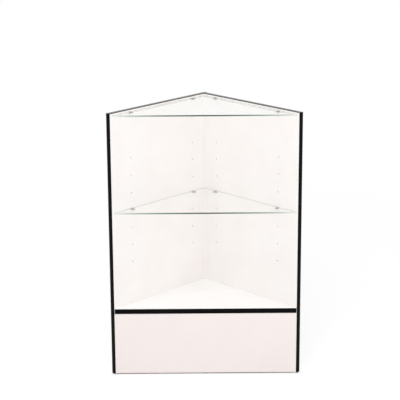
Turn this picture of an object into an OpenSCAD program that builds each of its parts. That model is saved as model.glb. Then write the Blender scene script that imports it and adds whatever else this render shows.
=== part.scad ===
// Open-front corner display cabinet.
// Two upright boards meet at a right angle at the rear. A deck and a kick board close the
// base, and two triangular glass panels rest on pegs pushed into rows of holes.
// Millimetres, +Z up. The open front faces -Y. The origin is on the floor, midway between
// the front and the rear corner.

/* [Cabinet] */
// Length of each side, from the rear corner to the front of its edging
side_l = 480; // [420:5:600]
// Height from the floor to the top of the edging
cabinet_h = 965; // [900:5:1200]
// Thickness of every board
board_t = 18; // [16:1:20]
// Height of the deck's upper face above the floor
deck_h = 250; // [160:5:320]
// Glue line or clearance where two boards butt together
joint_gap = 0.1; // [0.05:0.05:0.3]
// Gap between the kick board and the underside of the sides
kick_lift = 2; // [0:0.5:5]

/* [Edging] */
// Thickness of the edging's crown
edging_t = 2; // [1.5:0.5:3]
// Height of the crown's middle above its long edges
crown_rise = 0.6; // [0.2:0.1:1]
// Thickness of the tongue that holds the edging in its groove
tongue_t = 2.4; // [1.6:0.2:3.2]
// Depth of the tongue behind the crown
tongue_l = 7; // [5:0.5:9]
// Clearance on each side of a tongue
tongue_gap = 0.1; // [0.05:0.05:0.2]
// Clearance past a tongue's tip
tongue_end_gap = 0.5; // [0.2:0.1:1]
// Distance of the deck's edging behind the front of the sides
deck_edging_set = 0.5; // [0:0.25:4]

/* [Glass] */
// Thickness of each glass panel
glass_t = 5; // [4:1:8]
// Gap between the glass and each side
glass_wall_gap = 2; // [1.5:0.5:5]
// Distance of the glass behind the front of the sides
glass_front_gap = 1; // [0:0.5:8]
// Size of the nipped corners of the glass
glass_nip = 3; // [1:0.5:8]
// Depth of the top glass's upper face below the top of the cabinet
top_drop = 6.5; // [4:0.5:20]
// Clearance between the glass and the pads below it
rest_gap = 0.3; // [0.1:0.1:0.5]

/* [Peg holes] */
// Diameter of a peg hole
hole_d = 5; // [4:0.5:6]
// Depth of a peg hole
hole_depth = 11; // [8:0.5:13]
// Distance from one hole to the next above it
hole_pitch = 64; // [32:8:80]
// Holes in each column, without the one below the top glass
hole_rows = 7; // [5:1:8]
// Height of the lowest hole above the deck
lowest_hole_up = 158; // [100:2:200]
// Distance of the rear column from the inner rear corner
rear_column = 62; // [45:1:100]
// Distance of the front column from the front of the side
front_column_back = 96; // [50:1:130]
// Row of holes that carries the glass shelf, counted from 0 at the lowest
shelf_row = 3; // [0:1:4]

/* [Pegs] */
// Running clearance around the shank in its hole
shank_gap = 0.05; // [0.02:0.01:0.1]
// Length of the shank
shank_l = 10; // [6:0.5:10]
// Diameter of the collar that meets the side
collar_d = 9; // [8:0.5:11]
// Thickness of the collar
collar_t = 1.2; // [0.8:0.1:1.4]
// Clearance between the collar and the side
collar_gap = 0.1; // [0.05:0.05:0.2]
// Distance that the arm reaches out from the side
arm_l = 16; // [12:0.5:20]
// Width of the arm
arm_w = 8; // [6:0.5:8]
// Thickness of the arm
arm_t = 3; // [2:0.25:3.5]
// Height of the arm's upper face above the top of the shank
arm_above_shank = 0.15; // [0.1:0.05:1]
// Thickness of the web below the arm
web_t = 1.8; // [1:0.2:2.4]
// Depth of the web below the arm, at the collar
web_depth = 2.7; // [1.5:0.1:3]
// Thickness of the clear pad on the arm
pad_t = 0.8; // [0.5:0.1:1.5]
// Distance of the pad's outline inside the arm's
pad_inset = 0.5; // [0.25:0.25:1]
// Diameter of the pad's stem
stem_d = 2.6; // [2:0.2:3]
// Clearance around the pad's stem
stem_gap = 0.1; // [0.05:0.05:0.2]

/* [Fixings] */
// Diameter of a dowel
dowel_d = 8; // [6:1:8]
// Length of a dowel
dowel_l = 30; // [25:1:35]
// Depth of a dowel in the side that it is driven through
dowel_in_side = 10; // [8:0.5:12]
// Overall length of a board screw
screw_l = 50; // [45:1:60]
// Diameter of a board screw's head
screw_head_d = 10; // [8:0.5:11]
// Height of a board screw's head
screw_head_t = 3; // [2:0.5:4]
// Diameter of a board screw's plain shank
screw_shank_d = 7; // [6:0.5:7]
// Diameter of a board screw's thread
screw_thread_d = 5; // [4:0.5:5.5]
// Width across the flats of a board screw's socket
socket_w = 4; // [3:0.5:5]
// Depth of a board screw's socket
socket_depth = 2; // [1:0.5:2]
// Diameter of the cap over a screw's head
cap_d = 13; // [12:0.5:15]
// Thickness of the cap
cap_t = 1.2; // [0.8:0.1:2]
// Clearance around every fixing in its hole
fixing_gap = 0.1; // [0.05:0.05:0.2]
// Screws up the rear corner
corner_screws_n = 3; // [2:1:5]
// Distance of the first and last of them from the ends of the sides
corner_screw_end = 95; // [60:5:150]
// Distance of a deck screw from the nearer end of the deck's edge
deck_screw_end = 100; // [70:5:130]
// Distance of a deck dowel from the nearer end of the deck's edge
deck_dowel_end = 165; // [150:5:190]

/* [Base] */
// Width and height of the batten behind the kick board
batten_w = 25; // [22:1:28]
// Length of the batten
batten_l = 360; // [300:10:420]
// Distance of an upright batten screw from the batten's end
batten_up_end = 40; // [25:5:60]
// Distance of a level batten screw from the batten's end
batten_level_end = 110; // [90:5:130]
// Length of a batten screw
batten_screw_l = 35; // [30:1:38]
// Diameter of a batten screw
batten_screw_d = 4; // [3:0.5:4.5]
// Diameter of a batten screw's countersunk head
batten_head_d = 8; // [7:0.5:9]
// Length of each glue block's side along the kick board
block_w = 45; // [30:1:60]
// Size of a glue block's blunt tip
block_nip = 4; // [2:0.5:8]
// Gap from a glue block's end to the deck
block_end_gap = 45; // [30:5:60]
// Diameter of a floor glide
glide_d = 15; // [12:0.5:16]
// Thickness of a floor glide
glide_t = 2; // [1.5:0.5:4]
// Diameter of the nail in a glide
nail_d = 2; // [1.5:0.25:3]
// Length of the nail in a glide
nail_l = 14; // [10:1:18]
// Distance of a glide's middle from the end of its board
glide_end = 30; // [20:2:60]

/* [Hidden] */
$fn = 48;
SIDES = [-1, 1];
side_names = ["left", "right"];
level_names = ["shelf", "top"];
column_names = ["rear", "front"];

PEG_NODES = [for (l = level_names) for (s = side_names) for (c = column_names)
    str(l, "_", s, "_", c, "_peg")];
PAD_NODES = [for (l = level_names) for (s = side_names) for (c = column_names)
    str(l, "_", s, "_", c, "_pad")];

// Overrun of a cutting solid past the face that it opens
cut = 1;
diag = sqrt(2);

// Inner length of a side, from the inner rear corner to the front of its edging
inner_l = side_l - board_t;
// End of the wood along a side, where the edging begins
wood_end = inner_l - edging_t;
// Distance from the inner rear corner to the foremost line of the cabinet
front = (inner_l - crown_rise) / diag;
// The same distance to the front of the deck and kick boards
board_front = front - deck_edging_set - edging_t;
glass_front = front - glass_front_gap;
// Inner rear corner, placed so that the whole cabinet is centred on the origin
corner_y = (front - board_t * diag) / 2;

groove_t = tongue_t + 2 * tongue_gap;
groove_l = tongue_l + tongue_end_gap;
side_bottom = glide_t;
side_top = cabinet_h - edging_t;
deck_bottom = deck_h - board_t;
deck_middle = deck_h - board_t / 2;
kick_bottom = side_bottom + kick_lift;
kick_back = board_front - board_t;

// Heights of the pegs and of the glass, measured from a peg's axis
shank_r = hole_d / 2 - shank_gap;
arm_top = shank_r + arm_above_shank;
glass_up = arm_top + pad_t + rest_gap;
// Distance of the pad's stem from the side
stem_at = (arm_l + collar_t) / 2;
lowest_hole = deck_h + lowest_hole_up;
shelf_peg_z = lowest_hole + shelf_row * hole_pitch;
top_peg_z = cabinet_h - top_drop - glass_t - glass_up;
peg_levels = [shelf_peg_z, top_peg_z];
columns = [rear_column, inner_l - front_column_back];
hole_heights = concat([for (i = [0:hole_rows - 1]) lowest_hole + i * hole_pitch], [top_peg_z]);

// Fixings up the rear corner: screws evenly spread, with a dowel midway between each pair
corner_screw_step = (side_top - side_bottom - 2 * corner_screw_end) / (corner_screws_n - 1);
corner_screw_heights = [for (i = [0:corner_screws_n - 1])
    side_bottom + corner_screw_end + i * corner_screw_step];
corner_dowel_heights = [for (i = [0:corner_screws_n - 2])
    corner_screw_heights[i] + corner_screw_step / 2];
deck_edge_l = board_front * diag;
deck_screw_places = [deck_screw_end, deck_edge_l - deck_screw_end];
deck_dowel_places = [deck_dowel_end, deck_edge_l - deck_dowel_end];

white = [0.94, 0.93, 0.91];
black = [0.07, 0.07, 0.07];
clear_green = [0.80, 0.90, 0.86, 0.45];
nickel = [0.74, 0.74, 0.73];
steel = [0.62, 0.62, 0.62];
raw_wood = [0.80, 0.66, 0.47];
glide_grey = [0.55, 0.55, 0.54];

// Puts its children on one side: x runs from the inner rear corner to the front, y goes
// outward through the board, and side is -1 for the left or 1 for the right
module on_side(side) {
    translate([0, corner_y, 0]) {
        if (side > 0) {
            rotate([0, 0, -45]) children();
        } else {
            mirror([1, 0, 0]) rotate([0, 0, -45]) children();
        }
    }
}

// Right-angled triangle that fills the corner up to a front line, clear of both sides
module corner_triangle(front_at, wall_gap, nip = 0) {
    rear = wall_gap * diag;
    half = front_at - rear;
    translate([0, corner_y])
        polygon(nip > 0
            ? [[-nip, -rear - nip], [nip, -rear - nip], [half - nip, nip - front_at],
               [half - nip, -front_at], [nip - half, -front_at], [nip - half, nip - front_at]]
            : [[0, -rear], [half, -front_at], [-half, -front_at]]);
}

// Section of an edging: a crown with a slightly domed face and a tongue behind it.
// x runs out of the board and y across its thickness
module edging_section() {
    chord = board_t / 2;
    dome_r = (chord * chord + crown_rise * crown_rise) / (2 * crown_rise);
    intersection() {
        translate([0, -chord]) square([edging_t, board_t]);
        translate([edging_t - dome_r, 0]) circle(dome_r, $fn = 96);
    }
    translate([-tongue_l, -tongue_t / 2]) square([tongue_l + edging_t / 2, tongue_t]);
}

// Crown alone, for the last stretch before a corner
module crown_section() {
    intersection() {
        edging_section();
        translate([0, -board_t]) square([edging_t, 2 * board_t]);
    }
}

// Board screw: head, plain shank and thread, along +Z from the top of its head
module board_screw(gap = 0) {
    translate([0, 0, -gap]) cylinder(d = screw_head_d + 2 * gap, h = screw_head_t + 2 * gap);
    cylinder(d = screw_shank_d + 2 * gap, h = board_t - cap_t + gap);
    cylinder(d = screw_thread_d + 2 * gap, h = screw_l + gap);
}

module socketed_screw() {
    difference() {
        board_screw();
        translate([0, 0, -cut]) cylinder(d = socket_w * 2 / sqrt(3), h = socket_depth + cut, $fn = 6);
    }
}

// Cap over a screw, with a peg that fits its socket, along +Z from its outer face
module screw_cap() {
    cylinder(d = cap_d, h = cap_t);
    cylinder(d = socket_w - 2 * fixing_gap, h = cap_t + socket_depth / 2);
}

// Everything that is cut for one board screw and its cap, from the outer face inward
module screw_cut() {
    translate([0, 0, -cut]) cylinder(d = cap_d + 2 * fixing_gap, h = cap_t + cut);
    translate([0, 0, cap_t]) board_screw(fixing_gap);
}

module dowel(gap = 0) {
    translate([0, 0, -gap]) cylinder(d = dowel_d + 2 * gap, h = dowel_l + 2 * gap);
}

// Puts its children at each screw up the rear corner, on the outer face, facing inward
module at_corner_screws() {
    for (z = corner_screw_heights)
        on_side(-1) translate([-board_t / 2, board_t, z]) rotate([90, 0, 0]) children();
}

module at_corner_dowels() {
    for (z = corner_dowel_heights)
        on_side(-1) translate([-board_t / 2, dowel_in_side, z]) rotate([90, 0, 0]) children();
}

// Puts its children at each deck fixing, facing inward; depth is counted from the inner face
module at_deck(places, depth) {
    for (side = SIDES)
        for (x = places)
            on_side(side) translate([x, depth, deck_middle]) rotate([90, 0, 0]) children();
}

module peg_holes(side) {
    on_side(side)
        for (x = columns)
            for (z = hole_heights)
                translate([x, -cut, z]) rotate([-90, 0, 0]) cylinder(d = hole_d, h = hole_depth + cut);
}

// Place of a glide along a side: end is 0 for the rear one and 1 for the front one
function glide_x(end) = end == 0 ? glide_end : wood_end - glide_end;

module nail_hole() {
    translate([0, 0, -cut]) cylinder(d = nail_d + fixing_gap, h = nail_l + fixing_gap + cut);
}

module side_panel(side) {
    start = side < 0 ? -board_t : joint_gap;
    color(white) difference() {
        on_side(side) translate([start, 0, side_bottom])
            cube([wood_end - start, board_t, side_top - side_bottom]);
        on_side(side) {
            translate([wood_end - groove_l, (board_t - groove_t) / 2, side_bottom - cut])
                cube([groove_l + cut, groove_t, side_top - side_bottom + 2 * cut]);
            translate([start - cut, (board_t - groove_t) / 2, side_top - groove_l])
                cube([wood_end - start + 2 * cut, groove_t, groove_l + cut]);
            for (end = [0, 1])
                translate([glide_x(end), board_t / 2, side_bottom]) nail_hole();
        }
        peg_holes(side);
        at_corner_screws() screw_cut();
        at_corner_dowels() dowel(fixing_gap);
        at_deck(deck_screw_places, board_t) screw_cut();
        at_deck(deck_dowel_places, dowel_in_side) dowel(fixing_gap);
    }
}

module deck_panel() {
    color(white) difference() {
        translate([0, 0, deck_bottom]) linear_extrude(board_t) corner_triangle(board_front, joint_gap);
        translate([-front, corner_y - board_front - cut, deck_middle - groove_t / 2])
            cube([2 * front, groove_l + cut, groove_t]);
        at_deck(deck_screw_places, board_t) screw_cut();
        at_deck(deck_dowel_places, dowel_in_side) dowel(fixing_gap);
        at_batten_up() batten_screw(fixing_gap);
    }
}

module kick_panel() {
    color(white) difference() {
        translate([0, 0, kick_bottom]) linear_extrude(deck_bottom - joint_gap - kick_bottom)
            intersection() {
                corner_triangle(board_front, joint_gap);
                translate([-front, corner_y - board_front]) square([2 * front, board_t]);
            }
        at_batten_level() batten_screw(fixing_gap);
        translate([0, corner_y - board_front + board_t / 2, kick_bottom]) nail_hole();
    }
}

// Edging up the front of a side; its tongue stops below the top edging
module front_edging(side) {
    color(black) on_side(side) translate([wood_end, board_t / 2, side_bottom]) {
        linear_extrude(side_top - side_bottom) edging_section();
        linear_extrude(cabinet_h - side_bottom) crown_section();
    }
}

// Edging along the top of a side; its tongue stops at the front groove
module top_edging(side) {
    start = side < 0 ? -board_t : joint_gap;
    color(black) on_side(side) translate([start, board_t / 2, side_top]) rotate([90, 0, 90]) {
        rotate([0, 0, 90]) linear_extrude(wood_end - groove_l - start) edging_section();
        rotate([0, 0, 90]) linear_extrude(wood_end - joint_gap - start) crown_section();
    }
}

module deck_edging() {
    color(black) intersection() {
        translate([-front, corner_y - board_front, deck_middle]) rotate([0, 90, 0])
            rotate([0, 0, -90]) linear_extrude(2 * front) edging_section();
        translate([0, 0, deck_bottom - cut]) linear_extrude(board_t + 2 * cut)
            corner_triangle(front, joint_gap);
    }
}

module corner_dowels() {
    color(raw_wood) at_corner_dowels() dowel();
}

module corner_screws() {
    color(steel) at_corner_screws() translate([0, 0, cap_t]) socketed_screw();
}

module corner_screw_caps() {
    color(white) at_corner_screws() screw_cap();
}

module deck_dowels() {
    color(raw_wood) at_deck(deck_dowel_places, dowel_in_side) dowel();
}

module deck_screws() {
    color(steel) at_deck(deck_screw_places, board_t) translate([0, 0, cap_t]) socketed_screw();
}

module deck_screw_caps() {
    color(white) at_deck(deck_screw_places, board_t) screw_cap();
}

// Countersunk wood screw along +Z from the top of its head
module batten_screw(gap = 0) {
    head_l = (batten_head_d - batten_screw_d) / 2;
    translate([0, 0, -gap])
        cylinder(d1 = batten_head_d + 2 * gap, d2 = batten_screw_d + 2 * gap, h = head_l + gap);
    cylinder(d = batten_screw_d + 2 * gap, h = batten_screw_l + gap);
}

// Screws that go up through the batten into the deck
module at_batten_up() {
    for (side = SIDES)
        translate([side * (batten_l / 2 - batten_up_end),
                   corner_y - kick_back + joint_gap + batten_w / 2,
                   deck_bottom - joint_gap - batten_w])
            children();
}

// Screws that go level through the batten into the kick board
module at_batten_level() {
    for (side = SIDES)
        translate([side * (batten_l / 2 - batten_level_end),
                   corner_y - kick_back + joint_gap + batten_w,
                   deck_bottom - joint_gap - batten_w / 2])
            rotate([90, 0, 0]) children();
}

module kick_batten() {
    color(raw_wood) difference() {
        translate([-batten_l / 2, corner_y - kick_back + joint_gap, deck_bottom - joint_gap - batten_w])
            cube([batten_l, batten_w, batten_w]);
        at_batten_up() batten_screw(fixing_gap);
        at_batten_level() batten_screw(fixing_gap);
    }
}

module batten_screws() {
    color(steel) {
        at_batten_up() batten_screw();
        at_batten_level() batten_screw();
    }
}

// Three-sided block glued into the sharp corner between the kick board and a side
module kick_block(side) {
    back = kick_back - joint_gap;
    tip = back - joint_gap * diag;
    color(raw_wood)
        translate([0, corner_y, kick_bottom + block_end_gap])
            linear_extrude(deck_bottom - kick_bottom - 2 * block_end_gap)
                polygon([[side * (tip - block_w), -back], [side * (tip - block_nip), -back],
                         [side * (tip - block_nip), block_nip - back],
                         [side * (tip - block_w), block_w - back]]);
}

// Nailed glide; its disc fills the space between a board and the floor
module glide(disc_t) {
    color(glide_grey) {
        cylinder(d = glide_d, h = disc_t);
        cylinder(d = nail_d, h = disc_t + nail_l);
    }
}

module side_glide(side, end) {
    on_side(side) translate([glide_x(end), board_t / 2, 0]) glide(side_bottom);
}

module kick_glide() {
    translate([0, corner_y - board_front + board_t / 2, 0]) glide(kick_bottom);
}

module glass_panel(z) {
    color(clear_green) translate([0, 0, z])
        linear_extrude(glass_t) corner_triangle(glass_front, glass_wall_gap, glass_nip);
}

module top_glass() {
    glass_panel(top_peg_z + glass_up);
}

module shelf_glass() {
    glass_panel(shelf_peg_z + glass_up);
}

// Outline of a peg's arm seen from above, from the collar to its round end, drawn in by inset
module arm_outline(inset = 0) {
    half = arm_w / 2 - inset;
    centre = arm_l - arm_w / 2;
    translate([-half, -centre]) square([2 * half, centre - collar_gap - inset]);
    translate([0, -centre]) circle(half);
}

// Peg at its hole: the shank goes outward along y and the arm inward, with the web below it
module peg() {
    arm_bottom = arm_top - arm_t;
    collar_bottom = -collar_d / 2;
    difference() {
        union() {
            translate([0, -collar_gap, 0]) rotate([-90, 0, 0])
                cylinder(r = shank_r, h = shank_l + collar_gap);
            intersection() {
                translate([0, -collar_gap, 0]) rotate([90, 0, 0]) cylinder(d = collar_d, h = collar_t);
                translate([-collar_d, -collar_d, collar_bottom - cut])
                    cube([2 * collar_d, 2 * collar_d, arm_top - collar_bottom + cut]);
            }
            translate([0, 0, arm_bottom]) linear_extrude(arm_t) arm_outline();
            translate([-web_t / 2, 0, 0]) rotate([90, 0, 90]) linear_extrude(web_t)
                polygon([[-collar_gap - collar_t / 2, arm_bottom + arm_t / 2],
                         [-collar_gap - collar_t / 2, arm_bottom - web_depth],
                         [-collar_gap - collar_t, arm_bottom - web_depth],
                         [-arm_l + arm_w / 2, arm_bottom],
                         [-arm_l + arm_w / 2, arm_bottom + arm_t / 2]]);
        }
        translate([0, -stem_at, arm_top - arm_t - cut])
            cylinder(d = stem_d + 2 * stem_gap, h = arm_t + 2 * cut);
    }
}

// Clear pad on a peg's arm, with a stem that plugs into it
module pad() {
    difference() {
        translate([0, 0, arm_top]) linear_extrude(pad_t) arm_outline(pad_inset);
        translate([-arm_w, -collar_gap - collar_t, arm_top - cut])
            cube([2 * arm_w, collar_t + collar_gap + cut, pad_t + 2 * cut]);
    }
    translate([0, -stem_at, arm_top - arm_t]) cylinder(d = stem_d, h = arm_t + pad_t / 2);
}

module at_peg(level, side, column) {
    on_side(SIDES[side]) translate([columns[column], 0, peg_levels[level]]) children();
}

side_panel(-1);  // left_side_panel
side_panel(1);  // right_side_panel
deck_panel();
kick_panel();
front_edging(-1);  // left_front_edging
front_edging(1);  // right_front_edging
top_edging(-1);  // left_top_edging
top_edging(1);  // right_top_edging
deck_edging();
corner_dowels();
corner_screws();
corner_screw_caps();
deck_dowels();
deck_screws();
deck_screw_caps();
kick_batten();
batten_screws();
kick_block(-1);  // left_kick_block
kick_block(1);  // right_kick_block
side_glide(-1, 1);  // left_front_glide
side_glide(1, 1);  // right_front_glide
side_glide(-1, 0);  // left_rear_glide
side_glide(1, 0);  // right_rear_glide
kick_glide();
top_glass();
shelf_glass();
for (level = [0, 1])
    for (side = [0, 1])
        for (column = [0, 1]) {
            at = 4 * level + 2 * side + column;
            color(nickel) at_peg(level, side, column) peg();
            color(clear_green) at_peg(level, side, column) pad();
        }
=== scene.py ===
import math

import bmesh
import bpy
from mathutils import Matrix, Vector


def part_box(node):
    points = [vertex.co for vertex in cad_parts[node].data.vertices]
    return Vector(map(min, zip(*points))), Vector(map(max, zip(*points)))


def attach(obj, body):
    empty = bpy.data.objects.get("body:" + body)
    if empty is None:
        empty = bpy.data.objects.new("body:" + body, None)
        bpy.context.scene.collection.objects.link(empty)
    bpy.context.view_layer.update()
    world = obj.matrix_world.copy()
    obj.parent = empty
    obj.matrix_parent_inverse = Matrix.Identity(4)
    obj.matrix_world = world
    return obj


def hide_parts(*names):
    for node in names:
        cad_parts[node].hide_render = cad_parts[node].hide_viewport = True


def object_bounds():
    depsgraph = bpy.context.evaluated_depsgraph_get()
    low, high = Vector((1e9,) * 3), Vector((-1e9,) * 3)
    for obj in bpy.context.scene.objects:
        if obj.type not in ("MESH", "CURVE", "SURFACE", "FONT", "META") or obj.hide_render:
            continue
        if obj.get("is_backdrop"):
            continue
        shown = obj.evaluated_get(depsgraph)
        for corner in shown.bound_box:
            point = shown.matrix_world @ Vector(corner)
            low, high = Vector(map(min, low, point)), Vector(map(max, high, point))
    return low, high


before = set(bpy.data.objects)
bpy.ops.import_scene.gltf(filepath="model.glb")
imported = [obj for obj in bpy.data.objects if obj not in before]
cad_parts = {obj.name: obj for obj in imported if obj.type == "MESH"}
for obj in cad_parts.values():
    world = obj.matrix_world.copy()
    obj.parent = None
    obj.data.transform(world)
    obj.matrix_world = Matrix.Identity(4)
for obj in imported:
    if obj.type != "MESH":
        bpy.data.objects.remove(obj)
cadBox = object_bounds()
scene = bpy.context.scene
print("cabinet frame loaded,", len(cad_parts), "solids")

# Shared measures of the cabinet, in metres
cabinet = {
    "cornerY": 0.150402,  # inner rear corner
    "board": 0.018,  # thickness of every board
    "woodEnd": 0.460,  # end of a side's wood, counted from the inner rear corner
    "sideBottom": 0.002,
    "sideTop": 0.963,
    "top": 0.965,
    "deckTop": 0.250,
    "boardFront": 0.32376,  # inner rear corner to the front of deck and kick board
    "holeColumns": (0.062, 0.366),  # along a side
}
board = cabinet["board"]
deckMiddle = cabinet["deckTop"] - board / 2
kickMiddle = cabinet["cornerY"] - cabinet["boardFront"] + board / 2
sideNames = {-1: "left", 1: "right"}
up = Vector((0.0, 0.0, 1.0))
forward = Vector((0.0, -1.0, 0.0))
quarter = math.radians(45.0)
half = math.radians(90.0)
whole = math.radians(360.0)


# A point on a side: along it from the inner rear corner, and out through the board
def sidePoint(side, along, out, height):
    across = (along + out) / math.sqrt(2)
    depth = cabinet["cornerY"] + (out - along) / math.sqrt(2)
    return Vector((side * across, depth, height))


def sideWay(side, along, out):
    return sidePoint(side, along, out, 0.0) - sidePoint(side, 0.0, 0.0, 0.0)


# A node's output, which can stand in sums and comparisons as a plain number does
class NodeValue:
    def __init__(self, socket):
        self.socket = socket
        self.tree = socket.id_data

    def __add__(self, other):
        return calc("ADD", self, other)

    def __sub__(self, other):
        return calc("SUBTRACT", self, other)

    def __rsub__(self, other):
        return calc("SUBTRACT", other, self)

    def __mul__(self, other):
        return calc("MULTIPLY", self, other)

    def __truediv__(self, other):
        return calc("DIVIDE", self, other)

    def __lt__(self, other):
        return calc("LESS_THAN", self, other)

    def __gt__(self, other):
        return calc("GREATER_THAN", self, other)

    def __abs__(self):
        return calc("ABSOLUTE", self)


# Small helpers for node trees
def connect(value, socket):
    if isinstance(value, NodeValue):
        value.tree.links.new(value.socket, socket)
    elif value is not None:
        socket.default_value = (*value, 1.0) if socket.type == "RGBA" else value


def addNode(tree, kind, inputs=None, **choices):
    made = tree.nodes.new(kind)
    for name, value in choices.items():
        setattr(made, name, value)
    for name, value in (inputs or {}).items():
        connect(value, made.inputs[name])
    return [NodeValue(socket) for socket in made.outputs]


def treeOf(values):
    return next(value.tree for value in values if isinstance(value, NodeValue))


def calc(operation, *values):
    return addNode(treeOf(values), "ShaderNodeMath", dict(enumerate(values)), operation=operation)[0]


def vectorCalc(operation, *values):
    return addNode(treeOf(values), "ShaderNodeVectorMath", dict(enumerate(values)), operation=operation)[0]


def split(vector):
    return addNode(vector.tree, "ShaderNodeSeparateXYZ", {0: vector})


def combine(x=0.0, y=0.0, z=0.0):
    return addNode(treeOf((x, y, z)), "ShaderNodeCombineXYZ", {0: x, 1: y, 2: z})[0]


def clamped(value):
    return addNode(value.tree, "ShaderNodeClamp", {0: value})[0]


def remap(value, low, high, toLow=0.0, toHigh=1.0):
    ends = {0: value, 1: low, 2: high, 3: toLow, 4: toHigh}
    return addNode(value.tree, "ShaderNodeMapRange", ends, interpolation_type="SMOOTHSTEP")[0]


def mixColour(share, first, second):
    inputs = {0: share, 6: first, 7: second}
    return addNode(share.tree, "ShaderNodeMix", inputs, data_type="RGBA", clamp_result=True)[2]


def noise(vector, scale, detail=2.0, roughness=0.5):
    inputs = {"Vector": vector, "Scale": scale, "Detail": detail, "Roughness": roughness}
    return addNode(vector.tree, "ShaderNodeTexNoise", inputs)[0]


# Opens a node group. A socket is given as its default number or as the name of its kind.
def openGroup(kind, name, inputs, outputs):
    tree = bpy.data.node_groups.new(name, kind)
    for way, sockets in (("INPUT", inputs), ("OUTPUT", outputs)):
        for label, value in sockets.items():
            socketKind = {int: "Int", float: "Float"}.get(type(value), value)
            socket = tree.interface.new_socket(label, in_out=way, socket_type="NodeSocket" + socketKind)
            if socketKind != value:
                socket.default_value = value
    start = dict(zip(inputs, addNode(tree, "NodeGroupInput")))
    return tree, start, tree.nodes.new("NodeGroupOutput").inputs


# Wear along softened edges: patches of the arris attribute that the mesh code leaves there
wear = {
    "patches": (4.0, 0.65),  # detail and roughness of their noise
    "least": 0.85,  # what the noise has to pass at an amount of 0
    "gain": 0.5,  # and how much less at an amount of 1
    "fade": (-0.03, 0.06),
}


def arrisWear(vector, amount, scale):
    arris = addNode(vector.tree, "ShaderNodeAttribute", attribute_name="arris")[2]
    patches = noise(vector, scale, *wear["patches"])
    return [arris * remap(patches - (wear["least"] - amount * wear["gain"]), *wear["fade"])]


# Two sizes of soft mottling for colour, and the fine one for bump
mottling = {"fine": (3.0, 0.6), "coarser": 0.14}


def fineGrain(vector, scale, coarse):
    fine = noise(vector, scale, *mottling["fine"])
    inputs = {0: coarse, 2: fine, 3: noise(vector, scale * mottling["coarser"])}
    return [addNode(vector.tree, "ShaderNodeMix", inputs)[0], fine]


# Fine, short rubbing marks that run mostly along the vector's X
rubbing = {
    "squeeze": (1.0, 26.0, 26.0),
    "line": (0.988, 0.998),  # nearness to the noise's middle, where a mark starts and is full
    "patches": (3.0, 0.6),
    "patchScale": 0.45,
    "least": 0.78,
    "gain": 0.4,
    "fade": (0.0, 0.1),
}


def scuffMarks(vector, amount, scale):
    lines = noise(vectorCalc("MULTIPLY", vector, rubbing["squeeze"]), scale)
    line = remap(1.0 - abs(lines - 0.5), *rubbing["line"])
    where = noise(vector, scale * rubbing["patchScale"], *rubbing["patches"])
    return [line * remap(where - (rubbing["least"] - amount * rubbing["gain"]), *rubbing["fade"])]


# Thin dust on what faces up
dusting = {
    "flat": (0.6, 1.0),  # upward share of the normal
    "clouds": (5.0, 0.7),
    "cloudFade": (0.35, 0.75),
    "specks": (2600.0, 1.0),  # scale and detail
    "speckFade": (0.66, 0.74),
}


def settledDust(vector, amount, scale):
    normal = addNode(vector.tree, "ShaderNodeNewGeometry")[1]
    flat = remap(split(normal)[2], *dusting["flat"])
    clouds = remap(noise(vector, scale, *dusting["clouds"]), *dusting["cloudFade"])
    specks = remap(noise(vector, *dusting["specks"]), *dusting["speckFade"])
    return [calc("MINIMUM", flat * (clouds + specks) * amount, 1.0)]


# Pressed wood chips, as shown where a board's film ends
chipboard = {
    "stretch": (0.45, 1.9, 0.45),
    "wobble": (0.0016, 0.0016, 0.0016),
    "wobbleScale": 300.0,
    "gaps": (0.35, 0.75),  # from a chip's middle
    "dark": (0.36, 0.23, 0.12),
    "pale": (0.66, 0.50, 0.32),
    "gap": (0.22, 0.13, 0.07),
}


def chipCore(vector, scale):
    flatChips = vectorCalc("MULTIPLY", vector, chipboard["stretch"])
    inputs = {"Vector": vector, "Scale": chipboard["wobbleScale"]}
    wobble = addNode(vector.tree, "ShaderNodeTexNoise", inputs)[1]
    bent = vectorCalc("MULTIPLY_ADD", wobble, chipboard["wobble"], flatChips)
    far, shade = addNode(vector.tree, "ShaderNodeTexVoronoi", {"Vector": bent, "Scale": scale})[:2]
    tone = addNode(vector.tree, "ShaderNodeSeparateColor", {0: shade})[0]
    gaps = remap(far, *chipboard["gaps"])
    wood = mixColour(tone, chipboard["dark"], chipboard["pale"])
    return [mixColour(gaps, wood, chipboard["gap"]), tone - gaps]


# A shader group whose outputs a function makes from a vector and the group's own numbers
def buildEffect(name, make, numbers, outputs):
    tree, start, end = openGroup("ShaderNodeTree", name, {"Vector": "Vector", **numbers}, outputs)
    for value, socket in zip(make(*start.values()), end):
        connect(value, socket)
    return tree


mask = {"Mask": "Float"}
relief = {"Value": "Float", "Height": "Float"}
effects = {
    "grain": buildEffect("fineGrain", fineGrain, {"Scale": 900.0, "Coarse": 0.4}, relief),
    "worn": buildEffect("arrisWear", arrisWear, {"Amount": 0.5, "Scale": 60.0}, mask),
    "marks": buildEffect("scuffMarks", scuffMarks, {"Amount": 0.5, "Scale": 18.0}, mask),
    "dust": buildEffect("settledDust", settledDust, {"Amount": 0.3, "Scale": 30.0}, mask),
}
chips = buildEffect("chipCore", chipCore, {"Scale": 420.0}, {"Color": "Color", "Height": "Float"})
print("shader groups built")


def openMaterial(name):
    made = bpy.data.materials.new(name)
    made.use_nodes = True
    made.node_tree.nodes.clear()
    return made, made.node_tree


def objectVector(tree, location=None, rotation=None):
    coordinates = addNode(tree, "ShaderNodeTexCoord")[3]
    inputs = {"Vector": coordinates, "Location": location, "Rotation": rotation}
    return addNode(tree, "ShaderNodeMapping", inputs)[0]


# A shader group on a vector. In its settings the names with a capital are the group's own inputs.
def placeGroup(group, vector, settings):
    inputs = {name: value for name, value in settings.items() if name[0].isupper()}
    return addNode(vector.tree, "ShaderNodeGroup", {"Vector": vector, **inputs}, node_tree=group)


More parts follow.
